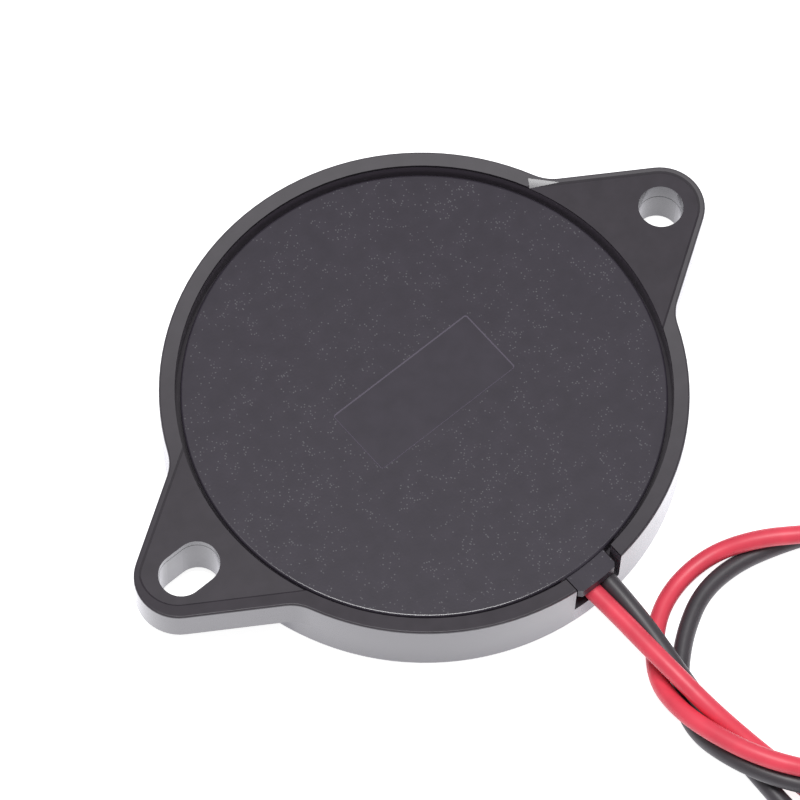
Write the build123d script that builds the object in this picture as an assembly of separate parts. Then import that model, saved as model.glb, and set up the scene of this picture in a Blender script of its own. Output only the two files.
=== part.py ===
from build123d import *
import math
import os

# Flange-mount piezo buzzer, 30 mm, external drive, with two flying leads.
#
# The buzzer lies on its sounding face with its back cover up.  Millimetres, +Z up.
# Origin: centre of the round body on the plane that it rests on.  The two mounting
# ears lie along X, the round fixing hole at +X and the slotted one at -X, and the
# leads leave through a notch in the wall at -Y.

# ---------------------------------------------------------------- driving sizes
# Housing
BODY_R = 15.0            # outer radius of the round body
BODY_H = 4.6             # height of the body, sounding face to back rim
FRONT_WALL = 0.8         # thickness of the sounding face
SOUND_HOLE_R = 1.5       # sound outlet in the middle of the sounding face
RIM_WALL = 0.9           # wall left round the cover recess
SEAT_WIDTH = 0.5         # ledge that carries the cover
EDGE_R = 0.12            # rounding of the moulded top edges
FOOT_R = 0.3             # rounding of the lower edge of the body

# Mounting ears
EAR_STANDOFF = 2.9       # body's outside to the middle of an ear's rounded tip
EAR_TIP_R = 2.55         # radius of that tip
EAR_THICK = 2.45         # thickness of an ear at its edge
EAR_FLANK = 32.6         # angle of an ear's flanks to the X axis, degrees
EAR_FILLET_R = 2.5       # hollow corner between flank and body
EAR_BORDER = 0.42        # raised border left round an ear's sunk face
WIDE_BORDER = 0.84       # the same on the slotted ear's -Y side
EAR_SINK = 0.12          # depth of that sunk face; its edge slopes at 45 degrees
RAMP_WIDTH = 0.6         # flat on the border where the round hole's ear meets the body at +Y
RAMP_LENGTH = 2.2

# Fixing holes, each in a sleeve that runs on below its ear
HOLE_R = 1.3             # round hole, and half the width of the slot
SLOT_RUN = 1.1           # distance between the slot's two end radii
HOLE_PITCH = 35.1        # middle of the round hole to middle of the slot
SLEEVE_WALL = 0.55
SLEEVE_DEPTH = 3.8       # from the back rim to the end of a sleeve

# Back cover
COVER_THICK = 1.0
COVER_SUNK = 0.55        # cover's face below the rim
COVER_GAP = 0.3          # gap all round the cover
COVER_EDGE_R = 0.15
PLUG_DEPTH = 0.5         # ring under the cover that centres it in the bore
PLUG_WALL = 0.8
PLUG_GAP = 0.1           # clearance of that ring in the bore
LABEL_LENGTH = 9.8       # bare sunk field on the cover
LABEL_WIDTH = 4.2
LABEL_SINK = 0.06
LABEL_CORNER_R = 0.12

# Lead notch in the wall, and the cover's tongue that closes its top
NOTCH_WIDTH = 3.3
NOTCH_FLOOR = 1.9        # height of the notch's floor
TONGUE_GAP = 0.3         # clearance on each side of the tongue
TONGUE_SUNK = 0.2        # tongue's face below the cover's face
TONGUE_INSET = 0.02      # tongue's end inside the body's outer wall
TONGUE_CHAMFER = 0.2

# Sounding element
PLATE_GAP = 0.1          # brass plate's edge to the bore
PLATE_THICK = 0.25
LEDGE_WIDTH = 1.0        # ledge that carries the plate
GLUE_THICK = 0.1         # silicone ring between ledge and plate
GLUE_WIDTH = 0.8
AIR_GAP = 0.65           # front air chamber, sounding face to ledge
CERAMIC_MARGIN = 3.5     # brass left bare round the ceramic
CERAMIC_THICK = 0.2
SILVER_MARGIN = 0.5      # ceramic left bare round the silver
SILVER_THICK = 0.03

# Leads
LEAD_D = 1.05            # over the insulation
CORE_D = 0.5             # twisted and tinned strands
TIP_LENGTH = 5.0         # stripped and tinned far end
TIP_CHAMFER = 0.1
SOLDER_R = 0.85          # radius of a solder joint
SOLDER_H = 0.65          # height of a solder joint
JOINT_MARGIN = 1.35      # silver's edge to the red joint, ceramic's edge to the black one
STRAND_LIFT = 0.05       # solder under the strands in a joint
STRAND_LEVEL = 0.3       # share of the strands' span that stays level before they dip
STRAND_DOWN = 0.75       # share of that span at which they are down

# Routes of the leads' centre lines, from the stripped inner end to the far end.
RED_ROUTE = [
    (-0.42, -12.4, 2.5), (-0.42, -14.7, 2.5), (-0.42, -17.1, 2.58), (-0.4, -19.5, 2.64),
    (-0.15, -21.9, 2.6), (0.38, -24.2, 2.05), (1.04, -26.5, 1.02), (1.38, -28.9, 0.55),
    (1.7, -31.7, 0.55), (2.5, -34.8, 0.55), (4.9, -37.4, 0.55), (8.7, -38.8, 0.55),
    (12.8, -38.2, 0.55), (16.2, -35.9, 0.55), (18.2, -32.4, 0.55), (18.4, -28.8, 0.55),
    (17.2, -25.7, 0.9), (15.3, -23.3, 1.65), (13.1, -21.4, 1.95), (11, -19.8, 1.9),
    (9, -18.35, 1.68), (6.9, -17.1, 0.88), (4.5, -16.95, 0.55), (2.3, -17.7, 0.6),
    (0.55, -19.2, 0.68), (-0.8, -21, 1.22), (-1.2, -23.3, 2), (-0.72, -25.8, 2.6),
    (0.28, -28.2, 2.9), (1.85, -30.4, 2.7), (4, -32.3, 1.7), (6.6, -33.7, 0.75),
    (9.4, -34.1, 0.55), (11.9, -33, 0.55), (13.1, -30.6, 0.55),
]
BLACK_ROUTE = [
    (0.72, -12.6, 2.5), (0.72, -14.9, 2.5), (0.72, -17.3, 2.38), (0.68, -19.6, 2.14),
    (0.68, -21.7, 1.74), (0.38, -23.8, 0.78), (-0.22, -26.1, 0.55), (-0.5, -28.6, 0.55),
    (-0.5, -31.6, 0.55), (0.4, -34.9, 0.55), (2.9, -38, 0.55), (6.9, -40.1, 0.55),
    (11.5, -40.3, 0.55), (16, -38.3, 0.55), (19.2, -34.5, 0.55), (20.3, -29.8, 0.55),
    (19.1, -25.5, 0.55), (17.2, -22.8, 0.55), (14.9, -21.2, 0.55), (12.5, -20.1, 0.55),
    (10, -19.1, 0.55), (7.4, -18.4, 0.55), (4.85, -18.45, 0.55), (2.7, -19.5, 0.55),
    (0.9, -21, 0.55), (-0.5, -22.6, 0.55), (-1.18, -24.7, 0.78), (-0.95, -27, 1.58),
    (0.05, -29.3, 1.95), (1.6, -31.6, 1.9), (3.6, -33.8, 1.2), (6.2, -35.5, 0.55),
    (9, -35.8, 0.55), (11.3, -34.8, 0.55),
]

# ---------------------------------------------------------------- derived sizes
RECESS_R = BODY_R - RIM_WALL              # cover recess
BORE_R = RECESS_R - SEAT_WIDTH            # bore below the cover's seat
EAR_REACH = BODY_R + EAR_STANDOFF         # body centre to the middle of an ear's tip
PLATE_R = BORE_R - PLATE_GAP
CERAMIC_R = PLATE_R - CERAMIC_MARGIN
SILVER_R = CERAMIC_R - SILVER_MARGIN
RED_JOINT_Y = -(SILVER_R - JOINT_MARGIN)
BLACK_JOINT_Y = -(CERAMIC_R + JOINT_MARGIN)
LEDGE_Z = FRONT_WALL + AIR_GAP            # top of the plate's ledge
PLATE_Z = LEDGE_Z + GLUE_THICK            # underside of the plate
CERAMIC_Z = PLATE_Z + PLATE_THICK
SILVER_Z = CERAMIC_Z + CERAMIC_THICK
SILVER_TOP = SILVER_Z + SILVER_THICK
COVER_TOP = BODY_H - COVER_SUNK
SEAT_Z = COVER_TOP - COVER_THICK          # cover's seat
COVER_R = RECESS_R - COVER_GAP
CHAMBER_R = BORE_R - LEDGE_WIDTH          # front air chamber
TONGUE_HALF = NOTCH_WIDTH / 2 - TONGUE_GAP
CUT = 1.0                                 # how far a cutting solid runs past a face


# ---------------------------------------------------------------- helpers
def disc(radius, bottom, top):
    """Upright cylinder on the Z axis between two heights."""
    return Pos(0, 0, bottom) * Cylinder(radius, top - bottom, align=(Align.CENTER, Align.CENTER, Align.MIN))


def block(x_size, y_from, y_to, bottom, top):
    """Box centred on X, between two Y values and two heights."""
    box = Box(x_size, y_to - y_from, top - bottom, align=(Align.CENTER, Align.MIN, Align.MIN))
    return Pos(0, y_from, bottom) * box


def ear_flag(tip_radius, inner_x):
    """Face of one ear towards +X: a rounded tip with two tangent flanks, back to inner_x."""
    lean = math.radians(EAR_FLANK)
    tip_x = EAR_REACH + tip_radius * math.sin(lean)
    tip_y = tip_radius * math.cos(lean)
    root_y = tip_y + (tip_x - inner_x) * math.tan(lean)
    nose = EAR_REACH + tip_radius
    outline = [
        Line((inner_x, -root_y), (tip_x, -tip_y)),
        ThreePointArc((tip_x, -tip_y), (nose, 0), (tip_x, tip_y)),
        Line((tip_x, tip_y), (inner_x, root_y)),
        Line((inner_x, root_y), (inner_x, -root_y)),
    ]
    return make_face(outline)


def both_ears(solid):
    """A +X ear feature with its twin at -X."""
    return solid + Rot(0, 0, 180) * solid


def racetrack(radius, run, bottom, top):
    """Upright slot with round ends, run long between their centres, along X."""
    if run == 0:
        return disc(radius, bottom, top)
    return Pos(0, 0, bottom) * extrude(SlotCenterToCenter(run, 2 * radius), top - bottom)


def fixing_positions():
    """Centre and run of each fixing hole: round at +X, slotted at -X towards the body."""
    return [(EAR_REACH, 0), (EAR_REACH - HOLE_PITCH, SLOT_RUN)]


# ---------------------------------------------------------------- housing
def flange_outline():
    """Plan of the body with its two ears and the hollow corners between them."""
    plan = Circle(BODY_R) + both_ears(ear_flag(EAR_TIP_R, 0))
    corners = [v for v in plan.vertices() if abs(math.hypot(v.X, v.Y) - BODY_R) < 1e-4]
    return fillet(corners, EAR_FILLET_R)


def sink_root():
    """Point at +X, +Y where an ear's sunk face meets the cover recess, on the back rim."""
    lean = math.radians(EAR_FLANK)
    flank_off = EAR_REACH * math.sin(lean) + EAR_TIP_R - EAR_BORDER
    angle = math.pi / 2 - lean - math.acos(flank_off / RECESS_R)
    return Vector(RECESS_R * math.cos(angle), RECESS_R * math.sin(angle), BODY_H)


def ear_sink():
    """What is taken off each ear's back face inside its raised border."""
    lean = math.radians(EAR_FLANK)
    face = ear_flag(EAR_TIP_R - EAR_BORDER, sink_root().X - CUT)
    slot_face = Rot(0, 0, 180) * face
    wider = WIDE_BORDER - EAR_BORDER
    slot_face &= Pos(wider * math.sin(lean), wider * math.cos(lean)) * slot_face
    floor = Pos(0, 0, BODY_H - EAR_SINK)
    return [floor * extrude(each, 2 * EAR_SINK, taper=-45) for each in (face, slot_face)]


def ear_ramp():
    """Shallow flat on one ear's border that runs out along the flank from the cover recess."""
    lean = math.radians(EAR_FLANK)
    along = Vector(math.cos(lean), -math.sin(lean), 0)
    outward = Vector(math.sin(lean), math.cos(lean), 0)
    profile = make_face(Polyline((0, -EAR_SINK), (RAMP_WIDTH, 0), (RAMP_WIDTH, CUT), (0, CUT), close=True))
    section = Plane(origin=sink_root(), x_dir=outward, z_dir=along) * profile
    return loft([section.face(), Vertex(*(sink_root() + along * RAMP_LENGTH))], ruled=True)


def make_housing():
    body = disc(BODY_R, 0, BODY_H)
    foot = body.edges().group_by(Axis.Z)[0]
    body = fillet(foot, FOOT_R)
    body += Pos(0, 0, BODY_H - EAR_THICK) * extrude(flange_outline(), EAR_THICK)
    body = fillet(body.faces().sort_by(Axis.Z)[-1].outer_wire().edges(), EDGE_R)
    for x, run in fixing_positions():
        body += Pos(x, 0, 0) * racetrack(HOLE_R + SLEEVE_WALL, run, BODY_H - SLEEVE_DEPTH, BODY_H - EAR_SINK)
    body -= disc(RECESS_R, SEAT_Z, BODY_H + CUT)
    body -= disc(BORE_R, LEDGE_Z, SEAT_Z + CUT)
    body -= disc(CHAMBER_R, FRONT_WALL, LEDGE_Z + CUT)
    body -= disc(SOUND_HOLE_R, -CUT, FRONT_WALL + CUT)
    body -= ear_sink()
    body -= ear_ramp()
    for x, run in fixing_positions():
        body -= Pos(x, 0, 0) * racetrack(HOLE_R, run, -CUT, BODY_H + CUT)
    body -= block(NOTCH_WIDTH, -BODY_R - CUT, -BORE_R + CUT, NOTCH_FLOOR, BODY_H + CUT)
    return body


# ---------------------------------------------------------------- back cover
def make_tongue():
    """Tongue that closes the top of the lead notch; its end follows the body's wall."""
    top = COVER_TOP - TONGUE_SUNK
    tongue = block(2 * TONGUE_HALF, -BODY_R - CUT, -BORE_R + PLUG_WALL, SEAT_Z, top)
    tongue &= disc(BODY_R - TONGUE_INSET, SEAT_Z, top)
    corners = tongue.edges().filter_by(Axis.Z).group_by(Axis.Y)[0]
    return chamfer(corners, TONGUE_CHAMFER)


def make_cover():
    cover = disc(COVER_R, SEAT_Z, COVER_TOP)
    cover = fillet(cover.edges().group_by(Axis.Z)[-1], COVER_EDGE_R)
    plug_r = BORE_R - PLUG_GAP
    plug = disc(plug_r, SEAT_Z - PLUG_DEPTH, SEAT_Z) - disc(plug_r - PLUG_WALL, SEAT_Z - CUT, SEAT_Z)
    plug -= block(NOTCH_WIDTH, -BODY_R, CUT - plug_r + PLUG_WALL, SEAT_Z - CUT, SEAT_Z)
    cover += plug
    cover += make_tongue()
    field = extrude(RectangleRounded(LABEL_LENGTH, LABEL_WIDTH, LABEL_CORNER_R), 2 * LABEL_SINK, taper=-45)
    cover -= Pos(0, 0, COVER_TOP - LABEL_SINK) * field
    return cover


# ---------------------------------------------------------------- sounding element
def make_glue():
    return disc(PLATE_R, LEDGE_Z, PLATE_Z) - disc(PLATE_R - GLUE_WIDTH, LEDGE_Z - CUT, PLATE_Z + CUT)


def solder_joint(x, y, seat, core):
    """Domed solder joint on a seat, with the strands let into it."""
    ball_r = (SOLDER_R ** 2 + SOLDER_H ** 2) / (2 * SOLDER_H)
    ball = Pos(x, y, seat + SOLDER_H - ball_r) * Sphere(ball_r)
    above = Box(2 * BODY_R, 2 * BODY_R, BODY_R, align=(Align.CENTER, Align.CENTER, Align.MIN))
    above = Pos(x, y, seat) * above
    return ball & above - core


# ---------------------------------------------------------------- leads
def arc_radii(points):
    """Largest even arc for each corner: 0.45 of the shorter run over tan of half the turn."""
    radii = []
    for before, here, after in zip(points, points[1:], points[2:]):
        run_in = Vector(*here) - Vector(*before)
        run_out = Vector(*after) - Vector(*here)
        half_turn = math.radians(run_in.get_angle(run_out)) / 2
        radii.append(0.45 * min(run_in.length, run_out.length) / math.tan(half_turn))
    return radii


def tube(points, diameter):
    """Round bar along straight runs joined by tangent arcs."""
    path = FilletPolyline(points, radius=arc_radii(points))
    section = Plane(origin=path @ 0, z_dir=path % 0) * Circle(diameter / 2)
    return sweep(section, path=path), path.length


def make_lead(name, route):
    solid, length = tube(route, LEAD_D)
    expected = math.pi * (LEAD_D / 2) ** 2 * length
    radii = arc_radii(route)
    print(f"{name}: {length:.1f} mm, radii {min(radii):.1f} to {max(radii):.1f} mm, "
          f"volume {solid.volume:.2f} of {expected:.2f}")
    return solid


def make_tip(route):
    """Stripped and tinned far end, in line with the lead's last run."""
    end = Vector(*route[-1])
    way = (end - Vector(*route[-2])).normalized()
    tip = extrude(Plane(origin=end, z_dir=way) * Circle(CORE_D / 2), TIP_LENGTH)
    far = tip.edges().sort_by(lambda e: (e.center() - end).dot(way))[-1]
    return chamfer(far, TIP_CHAMFER)


def make_core(start, joint_y, seat):
    """Bare strands from the insulation's inner end down into a solder joint."""
    x, y, z = start
    low = seat + STRAND_LIFT + CORE_D / 2
    span = joint_y - y
    points = [start, (x, y + STRAND_LEVEL * span, z), (x, y + STRAND_DOWN * span, low), (x, joint_y, low)]
    return tube(points, CORE_D)[0]


# ---------------------------------------------------------------- assembly
red_core = make_core(RED_ROUTE[0], RED_JOINT_Y, SILVER_TOP)
black_core = make_core(BLACK_ROUTE[0], BLACK_JOINT_Y, CERAMIC_Z)

nodes = {
    "housing": make_housing(),
    "back_cover": make_cover(),
    "adhesive_ring": make_glue(),
    "brass_plate": disc(PLATE_R, PLATE_Z, CERAMIC_Z),
    "ceramic_disc": disc(CERAMIC_R, CERAMIC_Z, SILVER_Z),
    "silver_electrode": disc(SILVER_R, SILVER_Z, SILVER_TOP),
    "red_solder_joint": solder_joint(RED_ROUTE[0][0], RED_JOINT_Y, SILVER_TOP, red_core),
    "black_solder_joint": solder_joint(BLACK_ROUTE[0][0], BLACK_JOINT_Y, CERAMIC_Z, black_core),
    "red_inner_strands": red_core,
    "black_inner_strands": black_core,
    "red_lead": make_lead("red_lead", RED_ROUTE),
    "black_lead": make_lead("black_lead", BLACK_ROUTE),
    "red_tinned_end": make_tip(RED_ROUTE),
    "black_tinned_end": make_tip(BLACK_ROUTE),
}

os.makedirs("parts", exist_ok=True)
for name, solid in nodes.items():
    export_step(solid, f"parts/{name}.step")
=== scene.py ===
"""Looks of a flange-mount piezo buzzer with two flying leads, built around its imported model.

Lengths in the settings are in metres.  +Z is up, the fixing ears lie along X and the
leads leave at -Y.
"""
import math

import bpy
import numpy as np
from bpy.props import FloatProperty, FloatVectorProperty, PointerProperty
from mathutils import Matrix, Vector


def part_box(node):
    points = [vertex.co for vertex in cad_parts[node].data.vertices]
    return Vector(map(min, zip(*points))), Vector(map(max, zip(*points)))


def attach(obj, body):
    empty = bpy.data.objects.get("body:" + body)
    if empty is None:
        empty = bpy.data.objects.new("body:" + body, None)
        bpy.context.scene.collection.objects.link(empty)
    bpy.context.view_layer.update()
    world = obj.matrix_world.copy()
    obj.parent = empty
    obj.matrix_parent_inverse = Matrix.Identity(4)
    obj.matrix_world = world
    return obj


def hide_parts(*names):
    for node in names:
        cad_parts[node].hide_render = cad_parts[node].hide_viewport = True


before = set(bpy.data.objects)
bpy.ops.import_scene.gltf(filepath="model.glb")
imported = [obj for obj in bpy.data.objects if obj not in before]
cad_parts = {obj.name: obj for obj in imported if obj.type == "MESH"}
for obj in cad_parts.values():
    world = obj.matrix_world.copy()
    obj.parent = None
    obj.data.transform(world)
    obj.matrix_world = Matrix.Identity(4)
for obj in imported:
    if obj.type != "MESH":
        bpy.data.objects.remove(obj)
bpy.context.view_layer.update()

bl_info = {
    "name": "Piezo buzzer",
    "version": (1, 0, 0),
    "blender": (4, 5, 0),
    "location": "View3D > Sidebar > Buzzer",
    "description": "Finishes, leads and studio of a flange-mount piezo buzzer",
    "category": "Object",
}

MM = 0.001
HOUSING_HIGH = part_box("housing")[1]
COVER_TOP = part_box("back_cover")[1].z
EAR_TOP = HOUSING_HIGH.z - 0.12 * MM          # back face of the fixing ears, sunk below the rim
HOLE_X, HOLE_REACH = 17.9 * MM, 1.4 * MM      # middle of the round hole, and half a box round it
SLOT_X, SLOT_REACH = -17.2 * MM, 2.4 * MM     # the same for the slot
FLOOR_DROP = 0.02 * MM            # keeps the floor just clear of the base
FRAME_MARGIN = 0.3 * MM           # reach past the label field that still takes in its edges, which get a painted highlight
COVER_STEEP = 0.985               # the cover's fillets count as polished walls
HOUSING_STEEP = 0.6               # the housing's fillets count as part of its level faces
GAP_BELOW = 0.25 * MM             # depth below the cover's top at which the gap's painted light begins
# colour of the glints painted on the cover's grain, standing in for the light they catch
PAINTED_GLINT_COLOUR = (0.125, 0.122, 0.135, 1.0)
STRAND_STEPS, STRAND_SIDES = 48, 14
SEAM_HALF = 0.04 * MM             # half the height of the painted shade line at a mould seam
RECESS_REACH = 14.15 * MM         # just outside the recess the cover sits in
NOTCH_REACH = 1.7 * MM            # just outside the notch's side walls
TONGUE_START = -13.6 * MM         # where the cover's tongue enters the notch

# Routes of the leads' centre lines in millimetres, from the inner end to the far end.
RED_ROUTE = [
    (-0.35, -12.4, 2.5), (-0.3, -14.7, 2.5), (-0.25, -17.1, 2.65), (-0.25, -19.55, 2.8),
    (-0.15, -21.95, 2.75), (0.05, -24.35, 2.4), (0.6, -26.7, 1.5), (1.15, -29, 0.9),
    (1.6, -31.7, 0.55), (2.5, -34.8, 0.55), (4.9, -37.4, 0.55), (8.7, -38.8, 0.55),
    (12.8, -38.2, 0.55), (16.2, -35.9, 0.55), (18.2, -32.4, 0.55), (18.4, -28.8, 0.55),
    (17.3, -25.6, 0.9), (15.45, -23.15, 1.65), (13.25, -21.25, 1.95), (11.15, -19.65, 1.9),
    (9.15, -18.2, 1.7), (6.95, -17.05, 0.9), (4.5, -16.95, 0.55), (2.3, -17.7, 0.6),
    (0.55, -19.2, 0.7), (-0.8, -21, 1.2), (-1.2, -23.3, 2), (-0.8, -25.85, 2.6),
    (0.1, -28.4, 2.95), (1.65, -30.6, 2.8), (3.85, -32.45, 1.8), (6.6, -33.7, 0.75),
    (9.4, -34.1, 0.55), (11.9, -33, 0.55), (13.1, -30.6, 0.55),
]
BLACK_ROUTE = [
    (0.8, -12.6, 2.5), (0.8, -14.9, 2.45), (0.75, -17.25, 2.3), (0.6, -19.55, 1.95),
    (0.3, -21.75, 1.85), (0.25, -23.9, 1.05), (0.1, -26.1, 0.55), (0, -28.55, 0.55),
    (-0.1, -31.55, 0.55), (0.55, -34.9, 0.55), (2.9, -38, 0.55), (6.9, -40.1, 0.55),
    (11.5, -40.3, 0.55), (16, -38.3, 0.55), (19.2, -34.5, 0.55), (20.3, -29.8, 0.55),
    (19.15, -25.45, 0.55), (17.35, -22.65, 0.55), (15.05, -21.05, 0.55), (12.65, -19.95, 0.55),
    (10.15, -18.95, 0.55), (7.55, -18.25, 0.55), (4.95, -18.35, 0.55), (2.7, -19.5, 0.55),
    (0.9, -21, 0.55), (-0.4, -22.6, 0.55), (-0.95, -24.6, 0.6), (-0.85, -26.9, 1.65),
    (0.05, -29.25, 1.85), (1.65, -31.55, 1.8), (3.6, -33.8, 1.1), (6.2, -35.5, 0.55),
    (9, -35.8, 0.55), (11.3, -34.8, 0.55),
]
RED_LENGTH = 97.2 * MM
BLACK_LENGTH = 99.1 * MM


def length_setting(name, description, default):
    """A length in metres, shown to a tenth of a millimetre or better."""
    return FloatProperty(name=name, description=description, default=default, min=0.0, precision=5,
                         subtype="DISTANCE", unit="LENGTH")


def share_setting(name, description, default):
    """A share from 0 to 1."""
    return FloatProperty(name=name, description=description, default=default, min=0.0, max=1.0,
                         subtype="FACTOR")


def colour_setting(name, description, default):
    """A linear colour."""
    return FloatVectorProperty(name=name, description=description, default=default, size=3,
                               min=0.0, max=1.0, subtype="COLOR")


# ---------------------------------------------------------------- settings
class LeadSettings(bpy.types.PropertyGroup):
    """Sizes and colours of the two leads."""
    diameter: length_setting("Diameter", "Over the insulation", 1.05 * MM)
    core: length_setting("Core", "Over the twisted strands", 0.5 * MM)
    tip_length: length_setting("Tinned end", "Length of the stripped end", 5.0 * MM)
    twist: length_setting("Lay", "Length of one turn of the strands", 4.0 * MM)
    red: colour_setting("Red", "Red insulation", (0.90, 0.070, 0.115))
    black: colour_setting("Black", "Black insulation", (0.053, 0.047, 0.055))
    tin: colour_setting("Tin", "Tinned copper", (0.72, 0.71, 0.69))
    solder: colour_setting("Solder", "Solder joints", (0.70, 0.71, 0.72))


class PlasticSettings(bpy.types.PropertyGroup):
    """Finish of the two mouldings."""
    housing: colour_setting("Housing", "Black of the housing", (0.042, 0.036, 0.045))
    cover: colour_setting("Cover", "Black of the cover", (0.041, 0.035, 0.048))
    grain: length_setting("Grain", "Size of the cover's grain", 0.13 * MM)
    grain_depth: length_setting("Grain depth", "Depth of the cover's grain", 0.0012 * MM)
    # The glints are painted: a lighter base colour on this share of the grains.
    glints: share_setting("Glints", "Share of the cover's grains that catch the light", 0.34)
    fine_grain: length_setting("Fine grain", "Size of the housing's grain", 0.12 * MM)
    fine_depth: length_setting("Fine grain depth", "Depth of the housing's grain", 0.0006 * MM)
    wall_gloss: share_setting("Wall roughness", "Roughness of the polished walls", 0.20)
    top_gloss: share_setting("Back roughness", "Roughness of the grained faces", 0.38)
    wall_coat: share_setting("Wall coat", "Gloss of the polished walls", 0.45)
    sheen: share_setting("Sheen", "Reflection of the grained faces", 0.24)
    # Painted light: this scale lightens the walls deep in the gap and the notch, where shade falls, and
    # gives the label field's edges a painted highlight.
    painted_light_scale: FloatProperty(name="Gap tone", description="Lighter plastic deep in the gap round the cover",
                            default=3.5, min=1.0)
    rim_sheen: share_setting("Rim sheen", "Reflection of the rim's top face", 0.78)
    seam_depth: length_setting("Hole seam", "Mould seam below the ear, in the hole", 1.24 * MM)
    slot_seam_depth: length_setting("Slot seam", "Mould seam below the ear, in the slot", 0.5 * MM)
    label_length: length_setting("Label length", "Bare field on the cover", 9.8 * MM)
    label_width: length_setting("Label width", "Bare field on the cover", 4.2 * MM)


class ElementSettings(bpy.types.PropertyGroup):
    """Colours of the sounding element inside."""
    brass: colour_setting("Brass", "Rolled brass plate", (0.78, 0.56, 0.24))
    ceramic: colour_setting("Ceramic", "Fired ceramic", (0.56, 0.49, 0.36))
    silver: colour_setting("Silver", "Fired silver paste", (0.82, 0.82, 0.80))
    silicone: colour_setting("Silicone", "Cured adhesive", (0.70, 0.70, 0.68))


class StudioSettings(bpy.types.PropertyGroup):
    """Camera, floor and lamps."""
    azimuth: FloatProperty(name="Azimuth", description="Camera's bearing, 0 looks along +Y",
                           default=math.radians(-43.36), subtype="ANGLE", unit="ROTATION")
    elevation: FloatProperty(name="Elevation", description="Camera's height above the horizon",
                             default=math.radians(65.30), subtype="ANGLE", unit="ROTATION")
    roll: FloatProperty(name="Roll", description="Camera's turn about its own line of sight",
                        default=math.radians(3.03), subtype="ANGLE", unit="ROTATION")
    distance: length_setting("Distance", "Camera to the middle of the buzzer", 0.2863)
    lens: FloatProperty(name="Lens", description="Focal length in millimetres on a 36 mm sensor",
                        default=225.0, min=1.0)
    shift_x: FloatProperty(name="Shift across", description="Camera's sideways shift", default=-0.0285)
    shift_y: FloatProperty(name="Shift up", description="Camera's upward shift", default=0.0265)
    floor_size: length_setting("Floor", "Side of the floor", 4.0)
    box_height: length_setting("Softbox height", "Overhead softbox above the floor", 1.0)
    box_size: length_setting("Softbox size", "Diameter of the overhead softbox", 0.46)
    box_power: FloatProperty(name="Softbox power", description="In watts", default=7.2, min=0.0)


# ---------------------------------------------------------------- node helpers
class Nodes:
    """Short ways to place and join the nodes of one tree."""

    def __init__(self, tree):
        self.tree = tree
        tree.nodes.clear()

    def add(self, kind, inputs=None, **fields):
        """New node with its fields set; inputs take a value, or a socket to join."""
        node = self.tree.nodes.new(kind)
        for field, value in fields.items():
            setattr(node, field, value)
        for key, value in (inputs or {}).items():
            self.put(node.inputs[key], value)
        return node

    def put(self, socket, value):
        """Sets a socket, or joins another socket to it."""
        if isinstance(value, bpy.types.NodeSocket):
            self.tree.links.new(value, socket)
        else:
            socket.default_value = value

    def math(self, operation, *values):
        """Result socket of a Math node."""
        node = self.add("ShaderNodeMath", dict(enumerate(values)), operation=operation)
        return node.outputs[0]

    def mix(self, share, first, second):
        """Colour between two colours."""
        node = self.add("ShaderNodeMix", {"Factor": share}, data_type="RGBA")
        self.put(node.inputs[6], first)
        self.put(node.inputs[7], second)
        return node.outputs[2]

    def ramp(self, value, low, high, low_out=0.0, high_out=1.0):
        """Straight ramp from low to high, held at both ends."""
        node = self.add("ShaderNodeMapRange", {"Value": value, "From Min": low, "From Max": high,
                                               "To Min": low_out, "To Max": high_out})
        return node.outputs[0]

    def noise(self, vector, size, detail=2.0, roughness=0.5):
        """Noise whose lumps are about the given size in metres."""
        node = self.add("ShaderNodeTexNoise", {"Vector": vector, "Scale": 1 / size, "Detail": detail,
                                               "Roughness": roughness})
        return node.outputs["Fac"]


def rgba(colour, scale=1.0):
    """Colour with alpha 1, scaled."""
    return (*[min(1.0, channel * scale) for channel in colour], 1.0)


def shader_group(name, inputs, outputs):
    """Empty shader node group with named sockets; inputs are (name, kind, default)."""
    group = bpy.data.node_groups.new(name, "ShaderNodeTree")
    for label, kind, default in inputs:
        socket = group.interface.new_socket(label, in_out="INPUT", socket_type=kind)
        if default is not None:
            socket.default_value = default
    for label, kind in outputs:
        group.interface.new_socket(label, in_out="OUTPUT", socket_type=kind)
    nodes = Nodes(group)
    return group, nodes, nodes.add("NodeGroupInput").outputs, nodes.add("NodeGroupOutput")


def within(nodes, value, middle, half):
    """1 where the value lies within half of the middle."""
    return nodes.math("COMPARE", value, middle, half)


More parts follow.
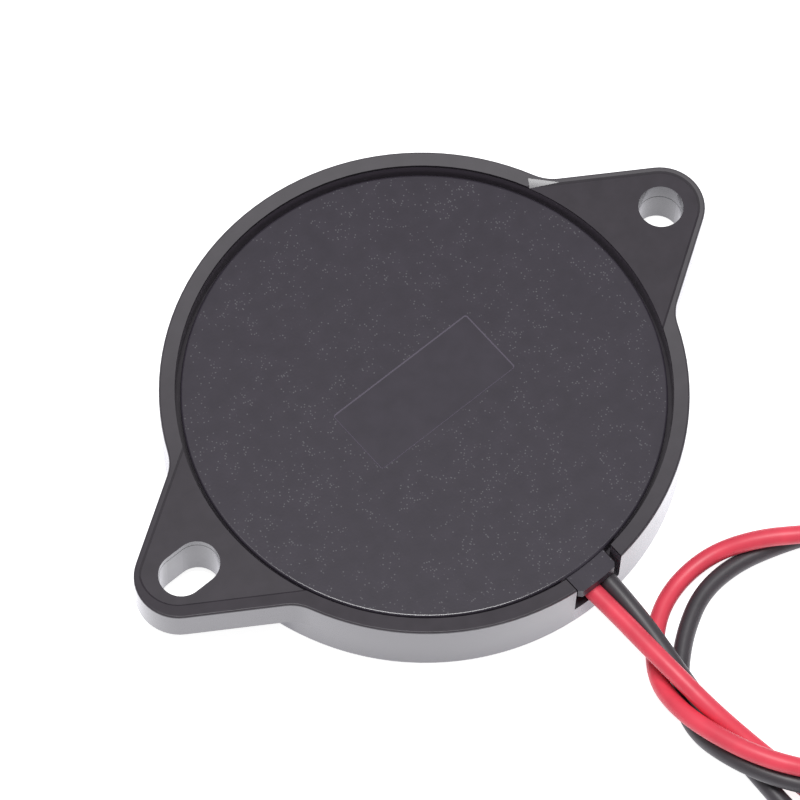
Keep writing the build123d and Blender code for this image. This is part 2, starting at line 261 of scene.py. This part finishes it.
def grain_group():
    """Spark-eroded grain: rounded pits of one size with finer lumps on them.

    Height = cell distance of a Voronoi pattern, mixed with noise of half the size, in metres.
    Tint = slow mottling from 0 to 1.
    Glint = 1 in the middle of the few cells, in loose groups, that get a painted glint: a lighter colour
    standing in for the light they catch.
    """
    group, nodes, given, result = shader_group(
        "Moulded grain",
        [("Vector", "NodeSocketVector", None), ("Size", "NodeSocketFloat", 0.0002),
         ("Depth", "NodeSocketFloat", 0.00001), ("Share", "NodeSocketFloat", 0.0)],
        [("Height", "NodeSocketFloat"), ("Tint", "NodeSocketFloat"), ("Glint", "NodeSocketFloat")])
    scale = nodes.math("DIVIDE", 1.0, given["Size"])
    cells = nodes.add("ShaderNodeTexVoronoi", {"Vector": given["Vector"], "Scale": scale},
                      feature="SMOOTH_F1")
    lumps = nodes.add("ShaderNodeTexNoise", {"Vector": given["Vector"], "Detail": 3.0,
                                             "Scale": nodes.math("MULTIPLY", scale, 0.8)})
    mottle = nodes.add("ShaderNodeTexNoise", {"Vector": given["Vector"], "Detail": 2.0,
                                              "Scale": nodes.math("MULTIPLY", scale, 0.12)})
    both = nodes.math("ADD", cells.outputs["Distance"], lumps.outputs["Fac"])
    nodes.put(result.inputs["Height"], nodes.math("MULTIPLY", both, given["Depth"]))
    nodes.put(result.inputs["Tint"], nodes.ramp(mottle.outputs["Fac"], 0.3, 0.7))
    spots = nodes.add("ShaderNodeTexVoronoi", {"Vector": given["Vector"], "Scale": scale})
    chance = nodes.add("ShaderNodeSeparateColor", {0: spots.outputs["Color"]}).outputs[0]
    grouped = nodes.math("MULTIPLY", given["Share"], nodes.ramp(mottle.outputs["Fac"], 0.4, 0.65))
    chosen = nodes.math("LESS_THAN", chance, grouped)
    middle = nodes.ramp(spots.outputs["Distance"], 0.38, 0.22)
    nodes.put(result.inputs["Glint"], nodes.math("MULTIPLY", chosen, middle))
    return group


def facing_group():
    """Which way a face points: Up is 1 on level faces, and 0 on any steeper than Steep.

    Flat is 1 on the shallow flat beside the round hole's ear, and 0 elsewhere.
    """
    group, nodes, given, result = shader_group(
        "Facing", [("Normal", "NodeSocketVector", None), ("Steep", "NodeSocketFloat", 0.98)],
        [("Up", "NodeSocketFloat"), ("Flat", "NodeSocketFloat")])
    parts = nodes.add("ShaderNodeSeparateXYZ", {0: given["Normal"]})
    level = nodes.math("ABSOLUTE", parts.outputs["Z"])
    nodes.put(result.inputs["Up"], nodes.ramp(level, given["Steep"], 0.998))
    nodes.put(result.inputs["Flat"], within(nodes, level, 0.981, 0.005))
    return group


def smudge_group():
    """Handling marks: soft patches from 0 to 1."""
    group, nodes, given, result = shader_group("Handling", [("Vector", "NodeSocketVector", None)],
                                               [("Patches", "NodeSocketFloat")])
    patches = nodes.noise(given["Vector"], 4.0 * MM, detail=3.0)
    nodes.put(result.inputs["Patches"], nodes.ramp(patches, 0.35, 0.7))
    return group


GROUPS = {}


def shared(name):
    """The shared node group of that name, made on first use."""
    makers = {"grain": grain_group, "facing": facing_group, "handling": smudge_group}
    if name not in GROUPS:
        GROUPS[name] = makers[name]()
    return GROUPS[name]


def start_material(name, colour, **sockets):
    """New material: its nodes, its Principled shader and its Object coordinates."""
    material = bpy.data.materials.new(name)
    material.use_nodes = True
    nodes = Nodes(material.node_tree)
    shader = nodes.add("ShaderNodeBsdfPrincipled", {"Base Color": rgba(colour)})
    for key, value in sockets.items():
        shader.inputs[key.replace("_", " ")].default_value = value
    out = nodes.add("ShaderNodeOutputMaterial")
    nodes.put(out.inputs["Surface"], shader.outputs[0])
    place = nodes.add("ShaderNodeTexCoord")
    return material, nodes, shader, place


def bump(nodes, shader, height):
    """Joins a height in metres to the shader's normal."""
    node = nodes.add("ShaderNodeBump", {"Height": height, "Strength": 1.0, "Distance": 1.0})
    nodes.put(shader.inputs["Normal"], node.outputs["Normal"])


# ---------------------------------------------------------------- materials
def seam_shade_lines(nodes, parts, walls, settings):
    """1 on the thin mould seams round the inside of the fixing hole and the slot, which the housing
    darkens as painted shade.
    """
    seam_shade = 0.0
    for middle, reach, depth in ((HOLE_X, HOLE_REACH, settings.seam_depth),
                                 (SLOT_X, SLOT_REACH, settings.slot_seam_depth)):
        inside = nodes.math("MULTIPLY", within(nodes, parts.outputs["X"], middle, reach),
                            within(nodes, parts.outputs["Y"], 0.0, HOLE_REACH))
        level = within(nodes, parts.outputs["Z"], EAR_TOP - depth, SEAM_HALF)
        seam_shade = nodes.math("MAXIMUM", seam_shade, nodes.math("MULTIPLY", inside, level))
    return nodes.math("MULTIPLY", seam_shade, walls)


def cover_finish(nodes, parts, texture, up, walls, tone, colour, settings):
    """Grained share, walls and tone of the cover.

    It has painted glints, a smooth label field whose edges get a painted highlight, a dull tongue,
    and painted light deep in the gap round it: a lighter colour where shade falls.
    """
    label = nodes.math("MULTIPLY", within(nodes, parts.outputs["X"], 0.0, settings.label_length / 2),
                       within(nodes, parts.outputs["Y"], 0.0, settings.label_width / 2))
    grained = nodes.math("SUBTRACT", up, nodes.math("MULTIPLY", label, up))
    nodes.put(texture.inputs["Share"], nodes.math("MULTIPLY", grained, settings.glints))
    # Painted glints: a lighter base colour where the grains would catch the light.
    tone = nodes.mix(texture.outputs["Glint"], tone, PAINTED_GLINT_COLOUR)
    tongue = nodes.math("LESS_THAN", parts.outputs["Y"], TONGUE_START)
    walls = nodes.math("MULTIPLY", walls, nodes.math("SUBTRACT", 1.0, tongue))
    # Painted light: walls deep in the gap get a lighter colour where shade falls, and the label field's
    # edges a painted highlight.
    below = nodes.math("LESS_THAN", parts.outputs["Z"], COVER_TOP - GAP_BELOW)
    frame_x = within(nodes, parts.outputs["X"], 0.0, settings.label_length / 2 + FRAME_MARGIN)
    frame_y = within(nodes, parts.outputs["Y"], 0.0, settings.label_width / 2 + FRAME_MARGIN)
    lighter = nodes.math("MAXIMUM", below, nodes.math("MULTIPLY", frame_x, frame_y))
    tone = nodes.mix(nodes.math("MULTIPLY", walls, lighter), tone, rgba(colour, settings.painted_light_scale))
    return grained, walls, tone


def rim_sheen(nodes, parts, settings):
    """Reflection of the housing's level faces: the rim's top gets a painted reflection that grows brighter
    towards +X and +Y.
    """
    lit = nodes.math("ADD", parts.outputs["X"], parts.outputs["Y"])
    # Painted reflection: stronger towards +X and +Y, standing in for how the light falls across the rim.
    rim = nodes.ramp(lit, -19.0 * MM, 19.0 * MM, settings.sheen * 0.7, settings.rim_sheen)
    return nodes.ramp(parts.outputs["Z"], EAR_TOP + 0.02 * MM, EAR_TOP + 0.1 * MM, settings.sheen, rim)


def housing_finish(nodes, parts, flat, walls, tone, colour, settings):
    """Walls and tone of the housing.

    It has a line of painted shade at the mould seam in each fixing hole, a glossier flat beside
    the round hole's ear, and painted light deep in the gap and the notch: a lighter colour where shade
    falls.
    """
    seam_shade = seam_shade_lines(nodes, parts, walls, settings)
    across = nodes.math("MULTIPLY", parts.outputs["X"], parts.outputs["X"])
    along = nodes.math("MULTIPLY", parts.outputs["Y"], parts.outputs["Y"])
    from_middle = nodes.math("SQRT", nodes.math("ADD", across, along))
    gap = nodes.math("LESS_THAN", from_middle, RECESS_REACH)
    notch = nodes.math("MULTIPLY", within(nodes, parts.outputs["X"], 0.0, NOTCH_REACH),
                       nodes.math("LESS_THAN", parts.outputs["Y"], TONGUE_START))
    # Painted light: walls deep in the gap and the notch get a lighter colour where shade falls.
    below = nodes.math("LESS_THAN", parts.outputs["Z"], EAR_TOP - 0.1 * MM)
    deep = nodes.math("MULTIPLY", nodes.math("MULTIPLY", walls, below),
                      nodes.math("MAXIMUM", gap, notch))
    tone = nodes.mix(deep, tone, rgba(colour, settings.painted_light_scale))
    # Painted shade: a dark line at each mould seam, where its small step would throw shade.
    tone = nodes.mix(seam_shade, tone, rgba(colour, 0.1))
    glossy_flat = nodes.math("MULTIPLY", flat, 0.3)
    return nodes.math("SUBTRACT", nodes.math("MAXIMUM", walls, glossy_flat), seam_shade), tone


def moulded_plastic(name, colour, grain, depth, settings, cover=False):
    """Black moulding: grained level faces and polished walls, finished as cover or housing."""
    material, nodes, shader, place = start_material(name, colour, IOR=1.52, Coat_Roughness=0.12)
    where = place.outputs["Object"]
    parts = nodes.add("ShaderNodeSeparateXYZ", {0: where})
    texture = nodes.add("ShaderNodeGroup", node_tree=shared("grain"))
    nodes.put(texture.inputs["Vector"], where)
    nodes.put(texture.inputs["Size"], grain)
    facing = nodes.add("ShaderNodeGroup", node_tree=shared("facing"))
    nodes.put(facing.inputs["Normal"], place.outputs["Normal"])
    facing.inputs["Steep"].default_value = COVER_STEEP if cover else HOUSING_STEEP
    marks = nodes.add("ShaderNodeGroup", node_tree=shared("handling"))
    nodes.put(marks.inputs["Vector"], where)

    up = facing.outputs["Up"]
    walls = nodes.math("SUBTRACT", 1.0, up)
    tone = nodes.mix(texture.outputs["Tint"], rgba(colour, 0.92), rgba(colour, 1.1))
    if cover:
        grained, walls, tone = cover_finish(nodes, parts, texture, up, walls, tone, colour, settings)
        sheen = settings.sheen
    else:
        grained = up
        walls, tone = housing_finish(nodes, parts, facing.outputs["Flat"], walls, tone, colour, settings)
        sheen = rim_sheen(nodes, parts, settings)

    nodes.put(shader.inputs["Base Color"], tone)
    nodes.put(texture.inputs["Depth"], nodes.math("MULTIPLY", grained, depth))
    nodes.put(shader.inputs["Specular IOR Level"], nodes.ramp(walls, 0.0, 1.0, sheen, 0.5))
    rough = nodes.ramp(walls, 1.0, 0.0, settings.wall_gloss, settings.top_gloss)
    patchy = nodes.math("MULTIPLY", marks.outputs["Patches"], 0.04)
    nodes.put(shader.inputs["Roughness"], nodes.math("ADD", rough, patchy))
    nodes.put(shader.inputs["Coat Weight"], nodes.math("MULTIPLY", walls, settings.wall_coat))
    bump(nodes, shader, texture.outputs["Height"])
    return material


def insulation(name, colour):
    """Soft extruded insulation: faint mottling, slight gloss and a slightly uneven skin."""
    material, nodes, shader, place = start_material(name, colour, IOR=1.5, Coat_Weight=0.08,
                                                    Coat_Roughness=0.3)
    where = place.outputs["Object"]
    shade = nodes.noise(where, 1.5 * MM, detail=2.0)
    nodes.put(shader.inputs["Base Color"], nodes.mix(nodes.ramp(shade, 0.3, 0.7), rgba(colour, 0.9),
                                                     rgba(colour, 1.06)))
    skin = nodes.noise(where, 0.35 * MM, detail=3.0)
    bump(nodes, shader, nodes.math("MULTIPLY", skin, 0.006 * MM))
    marks = nodes.add("ShaderNodeGroup", node_tree=shared("handling"))
    nodes.put(marks.inputs["Vector"], where)
    nodes.put(shader.inputs["Roughness"], nodes.ramp(marks.outputs["Patches"], 0.0, 1.0, 0.42, 0.52))
    return material


def metal(name, colour, roughness, grain_size, depth, stretch=(1.0, 1.0, 1.0)):
    """Metal with a fine grain that may be drawn out along one way, as in rolled sheet."""
    material, nodes, shader, place = start_material(name, colour, Metallic=1.0)
    mapping = nodes.add("ShaderNodeMapping", {"Vector": place.outputs["Object"], "Scale": stretch})
    fine = nodes.noise(mapping.outputs[0], grain_size, detail=4.0)
    slow = nodes.noise(place.outputs["Object"], 3.0 * MM, detail=2.0)
    nodes.put(shader.inputs["Base Color"], nodes.mix(slow, rgba(colour, 0.86), rgba(colour, 1.05)))
    nodes.put(shader.inputs["Roughness"], nodes.ramp(fine, 0.2, 0.8, roughness * 0.75, roughness * 1.25))
    bump(nodes, shader, nodes.math("MULTIPLY", fine, depth))
    return material


def matt_mass(name, colour, grain_size, roughness, depth):
    """Dull material, such as ceramic or cured silicone, with fine specks."""
    material, nodes, shader, place = start_material(name, colour)
    specks = nodes.noise(place.outputs["Object"], grain_size, detail=5.0, roughness=0.65)
    nodes.put(shader.inputs["Base Color"], nodes.mix(nodes.ramp(specks, 0.3, 0.7), rgba(colour, 0.84),
                                                     rgba(colour, 1.08)))
    nodes.put(shader.inputs["Roughness"], nodes.ramp(specks, 0.2, 0.8, roughness * 0.85, roughness))
    bump(nodes, shader, nodes.math("MULTIPLY", specks, depth))
    return material


def paint(node, material):
    """Gives a CAD node its finish."""
    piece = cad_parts[node]
    piece.data.materials.clear()
    piece.data.materials.append(material)


# ---------------------------------------------------------------- leads
def lead_curve(name, route, diameter):
    """Smooth centre line with the route's points as its control points, and a round section."""
    data = bpy.data.curves.new(name, "CURVE")
    data.dimensions = "3D"
    spline = data.splines.new("NURBS")
    spline.points.add(len(route) - 1)
    for point, place in zip(spline.points, route):
        point.co = (*[value * MM for value in place], 1.0)
    spline.order_u = 3
    spline.use_endpoint_u = True
    spline.resolution_u = 14
    data.resolution_u = 14
    data.bevel_depth = diameter / 2
    data.bevel_resolution = 8
    data.use_fill_caps = True
    piece = bpy.data.objects.new(name, data)
    bpy.context.scene.collection.objects.link(piece)
    return piece


def strand_points(turns, length, radius, orbit, start_angle, steps, sides):
    """Points of one twisted strand along +Z, as steps by sides by 3.

    A circle of the strand's radius is carried along a helix: the helix has the given orbit
    about Z and turns evenly over the length.
    """
    along = np.linspace(0.0, 1.0, steps)[:, None]
    round_angle = np.linspace(0.0, 2 * math.pi, sides, endpoint=False)[None, :]
    orbit_angle = start_angle + 2 * math.pi * turns * along
    grid = np.empty((steps, sides, 3))
    grid[..., 0] = orbit * np.cos(orbit_angle) + radius * np.cos(round_angle)
    grid[..., 1] = orbit * np.sin(orbit_angle) + radius * np.sin(round_angle)
    grid[..., 2] = length * along
    return grid


def closed_tube(grid):
    """Vertices and faces of a tube over a grid of rings, with a middle point on each end."""
    steps, sides = grid.shape[:2]
    vertices = np.vstack([grid.reshape(-1, 3), grid[0].mean(0), grid[-1].mean(0)])
    ring = np.arange(sides)
    after = (ring + 1) % sides
    rows = np.arange(steps - 1)[:, None] * sides
    walls = np.stack([rows + ring, rows + after, rows + sides + after, rows + sides + ring], -1)
    first, last = steps * sides, steps * sides + 1
    low = np.stack([np.full(sides, first), after, ring], -1)
    high = np.stack([np.full(sides, last), ring + (steps - 1) * sides, after + (steps - 1) * sides], -1)
    return vertices, walls.reshape(-1, 4).tolist() + low.tolist() + high.tolist()


def tinned_end(name, route, settings):
    """Seven strands twisted together, one in the middle and six round it."""
    strand = settings.core / 6
    start = Vector(route[-1]) * MM
    way = (start - Vector(route[-2]) * MM).normalized()
    turn = np.array(way.to_track_quat("Z", "Y").to_matrix())
    vertices, faces, count = [], [], 0
    for number in range(7):
        orbit = 0.0 if number == 0 else 2 * strand
        grid = strand_points(settings.tip_length / settings.twist, settings.tip_length, strand, orbit,
                             math.radians(60) * number, STRAND_STEPS, STRAND_SIDES)
        points, sides = closed_tube(grid)
        vertices.append(points)
        faces += [[corner + count for corner in face] for face in sides]
        count += len(points)
    placed = np.vstack(vertices) @ turn.T + np.array(start)
    mesh = bpy.data.meshes.new(name)
    mesh.from_pydata(placed.tolist(), [], faces)
    mesh.shade_smooth()
    piece = bpy.data.objects.new(name, mesh)
    bpy.context.scene.collection.objects.link(piece)
    return piece


# ---------------------------------------------------------------- operators
class BUZZER_OT_camera(bpy.types.Operator):
    """Places the camera"""
    bl_idname = "buzzer.camera"
    bl_label = "Camera"

    def execute(self, context):
        studio = context.scene.buzzer_studio
        level = math.cos(studio.elevation)
        back = Vector((math.sin(studio.azimuth) * level, -math.cos(studio.azimuth) * level,
                       math.sin(studio.elevation)))
        right = Vector((math.cos(studio.azimuth), math.sin(studio.azimuth), 0.0))
        up = back.cross(right)
        turned_right = right * math.cos(studio.roll) + up * math.sin(studio.roll)
        turned_up = up * math.cos(studio.roll) - right * math.sin(studio.roll)
        data = bpy.data.cameras.new("camera")
        data.lens = studio.lens
        data.sensor_width = 36.0
        data.shift_x = studio.shift_x
        data.shift_y = studio.shift_y
        data.clip_start = 0.01
        camera = bpy.data.objects.new("camera", data)
        axes = Matrix((turned_right, turned_up, back)).transposed().to_4x4()
        camera.matrix_world = Matrix.Translation(back * studio.distance) @ axes
        context.scene.collection.objects.link(camera)
        context.scene.camera = camera
        return {"FINISHED"}


class BUZZER_OT_leads(bpy.types.Operator):
    """Makes the two insulated leads with their tinned ends"""
    bl_idname = "buzzer.leads"
    bl_label = "Leads"

    def execute(self, context):
        leads = context.scene.buzzer_leads
        tin = metal("tinned strands", leads.tin, 0.28, 0.08 * MM, 0.004 * MM)
        for colour, route, length, base in (("red", RED_ROUTE, RED_LENGTH, leads.red),
                                            ("black", BLACK_ROUTE, BLACK_LENGTH, leads.black)):
            tip = tinned_end(f"{colour}_strands", route, leads)
            tip.data.materials.append(tin)
            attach(tip, "root")
            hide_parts(f"{colour}_tinned_end")
            lead = lead_curve(f"{colour}_insulation", route, leads.diameter)
            lead.data.materials.append(insulation(f"{colour} insulation", base))
            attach(lead, "root")
            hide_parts(f"{colour}_lead")
        return {"FINISHED"}


class BUZZER_OT_mouldings(bpy.types.Operator):
    """Finishes the housing and the back cover"""
    bl_idname = "buzzer.mouldings"
    bl_label = "Mouldings"

    def execute(self, context):
        plastic = context.scene.buzzer_plastic
        paint("housing", moulded_plastic("housing plastic", plastic.housing, plastic.fine_grain,
                                         plastic.fine_depth, plastic))
        paint("back_cover", moulded_plastic("cover plastic", plastic.cover, plastic.grain,
                                            plastic.grain_depth, plastic, cover=True))
        return {"FINISHED"}


class BUZZER_OT_element(bpy.types.Operator):
    """Finishes the sounding element and its joints"""
    bl_idname = "buzzer.element"
    bl_label = "Sounding element"

    def execute(self, context):
        element = context.scene.buzzer_element
        leads = context.scene.buzzer_leads
        paint("brass_plate", metal("rolled brass", element.brass, 0.3, 0.12 * MM, 0.002 * MM,
                                   (0.05, 1.0, 1.0)))
        paint("ceramic_disc", matt_mass("fired ceramic", element.ceramic, 0.15 * MM, 0.65, 0.004 * MM))
        paint("silver_electrode", metal("fired silver", element.silver, 0.42, 0.1 * MM, 0.005 * MM))
        paint("adhesive_ring", matt_mass("cured silicone", element.silicone, 0.4 * MM, 0.45, 0.01 * MM))
        solder = metal("solder", leads.solder, 0.18, 0.3 * MM, 0.006 * MM)
        strands = metal("bare strands", leads.tin, 0.3, 0.1 * MM, 0.006 * MM, (1.0, 0.2, 1.0))
        for colour in ("red", "black"):
            paint(f"{colour}_solder_joint", solder)
            paint(f"{colour}_inner_strands", strands)
        return {"FINISHED"}


def floor_material():
    """White floor that keeps the object's shadow and shows white to the camera and in gloss."""
    material, nodes, shader, _ = start_material("studio floor", (0.88, 0.88, 0.88), Roughness=0.9)
    rays = nodes.add("ShaderNodeLightPath").outputs
    mirrored = nodes.math("MAXIMUM", rays["Is Glossy Ray"], rays["Is Transmission Ray"])
    seen = nodes.math("MULTIPLY", rays["Is Camera Ray"], 0.88)
    glow = nodes.mix(rays["Is Camera Ray"], (0.93, 0.92, 1.0, 1.0), (1.0, 1.0, 1.0, 1.0))
    nodes.put(shader.inputs["Emission Color"], glow)
    shader.inputs["Specular IOR Level"].default_value = 0.0
    nodes.put(shader.inputs["Emission Strength"], nodes.math("ADD", seen, mirrored))
    return material


class BUZZER_OT_studio(bpy.types.Operator):
    """Makes the floor, the world and the lamps"""
    bl_idname = "buzzer.studio"
    bl_label = "Studio"

    def execute(self, context):
        studio = context.scene.buzzer_studio
        half = studio.floor_size / 2
        mesh = bpy.data.meshes.new("floor")
        corners = [(-half, -half, -FLOOR_DROP), (half, -half, -FLOOR_DROP), (half, half, -FLOOR_DROP),
                   (-half, half, -FLOOR_DROP)]
        mesh.from_pydata(corners, [], [(0, 1, 2, 3)])
        mesh.materials.append(floor_material())
        floor = bpy.data.objects.new("floor", mesh)
        context.scene.collection.objects.link(floor)

        world = bpy.data.worlds.new("studio")
        world.use_nodes = True
        context.scene.world = world
        nodes = Nodes(world.node_tree)
        rays = nodes.add("ShaderNodeLightPath").outputs
        mirrored = nodes.math("MAXIMUM", rays["Is Glossy Ray"], rays["Is Transmission Ray"])
        seen = nodes.math("MAXIMUM", rays["Is Camera Ray"], nodes.math("MULTIPLY", mirrored, 0.5))
        strength = nodes.math("MAXIMUM", seen, 0.3)
        sky = nodes.add("ShaderNodeBackground", {"Color": (1.0, 1.0, 1.0, 1.0), "Strength": strength})
        out = nodes.add("ShaderNodeOutputWorld")
        nodes.put(out.inputs["Surface"], sky.outputs[0])

        lamp = bpy.data.lights.new("softbox", "AREA")
        lamp.shape = "DISK"
        lamp.size = studio.box_size
        lamp.energy = studio.box_power
        softbox = bpy.data.objects.new("softbox", lamp)
        softbox.location = (0.0, 0.0, studio.box_height)
        context.scene.collection.objects.link(softbox)
        context.scene.view_settings.view_transform = "Standard"
        return {"FINISHED"}


class BUZZER_PT_panel(bpy.types.Panel):
    """Lists the steps that build the buzzer's looks"""
    bl_idname = "BUZZER_PT_panel"
    bl_label = "Piezo buzzer"
    bl_space_type = "VIEW_3D"
    bl_region_type = "UI"
    bl_category = "Buzzer"

    def draw(self, context):
        for settings, step in STEPS:
            box = self.layout.box()
            group = getattr(context.scene, settings)
            for field in group.bl_rna.properties:
                if not field.is_readonly and field.identifier != "name":
                    box.prop(group, field.identifier)
            box.operator(f"buzzer.{step}")


# Scene settings and the step that uses them, in the order in which the steps run.
STEPS = [
    ("buzzer_studio", "camera"),
    ("buzzer_leads", "leads"),
    ("buzzer_plastic", "mouldings"),
    ("buzzer_element", "element"),
    ("buzzer_studio", "studio"),
]
SETTINGS = {
    "buzzer_leads": LeadSettings,
    "buzzer_plastic": PlasticSettings,
    "buzzer_element": ElementSettings,
    "buzzer_studio": StudioSettings,
}
CLASSES = [*SETTINGS.values(), BUZZER_OT_camera, BUZZER_OT_leads, BUZZER_OT_mouldings,
           BUZZER_OT_element, BUZZER_OT_studio, BUZZER_PT_panel]


def register():
    for each in CLASSES:
        bpy.utils.register_class(each)
    for name, group in SETTINGS.items():
        setattr(bpy.types.Scene, name, PointerProperty(type=group))


def unregister():
    for name in SETTINGS:
        delattr(bpy.types.Scene, name)
    for each in reversed(CLASSES):
        bpy.utils.unregister_class(each)


def main():
    register()
    for _, step in STEPS:
        getattr(bpy.ops.buzzer, step)()


if __name__ == "__main__":
    main()
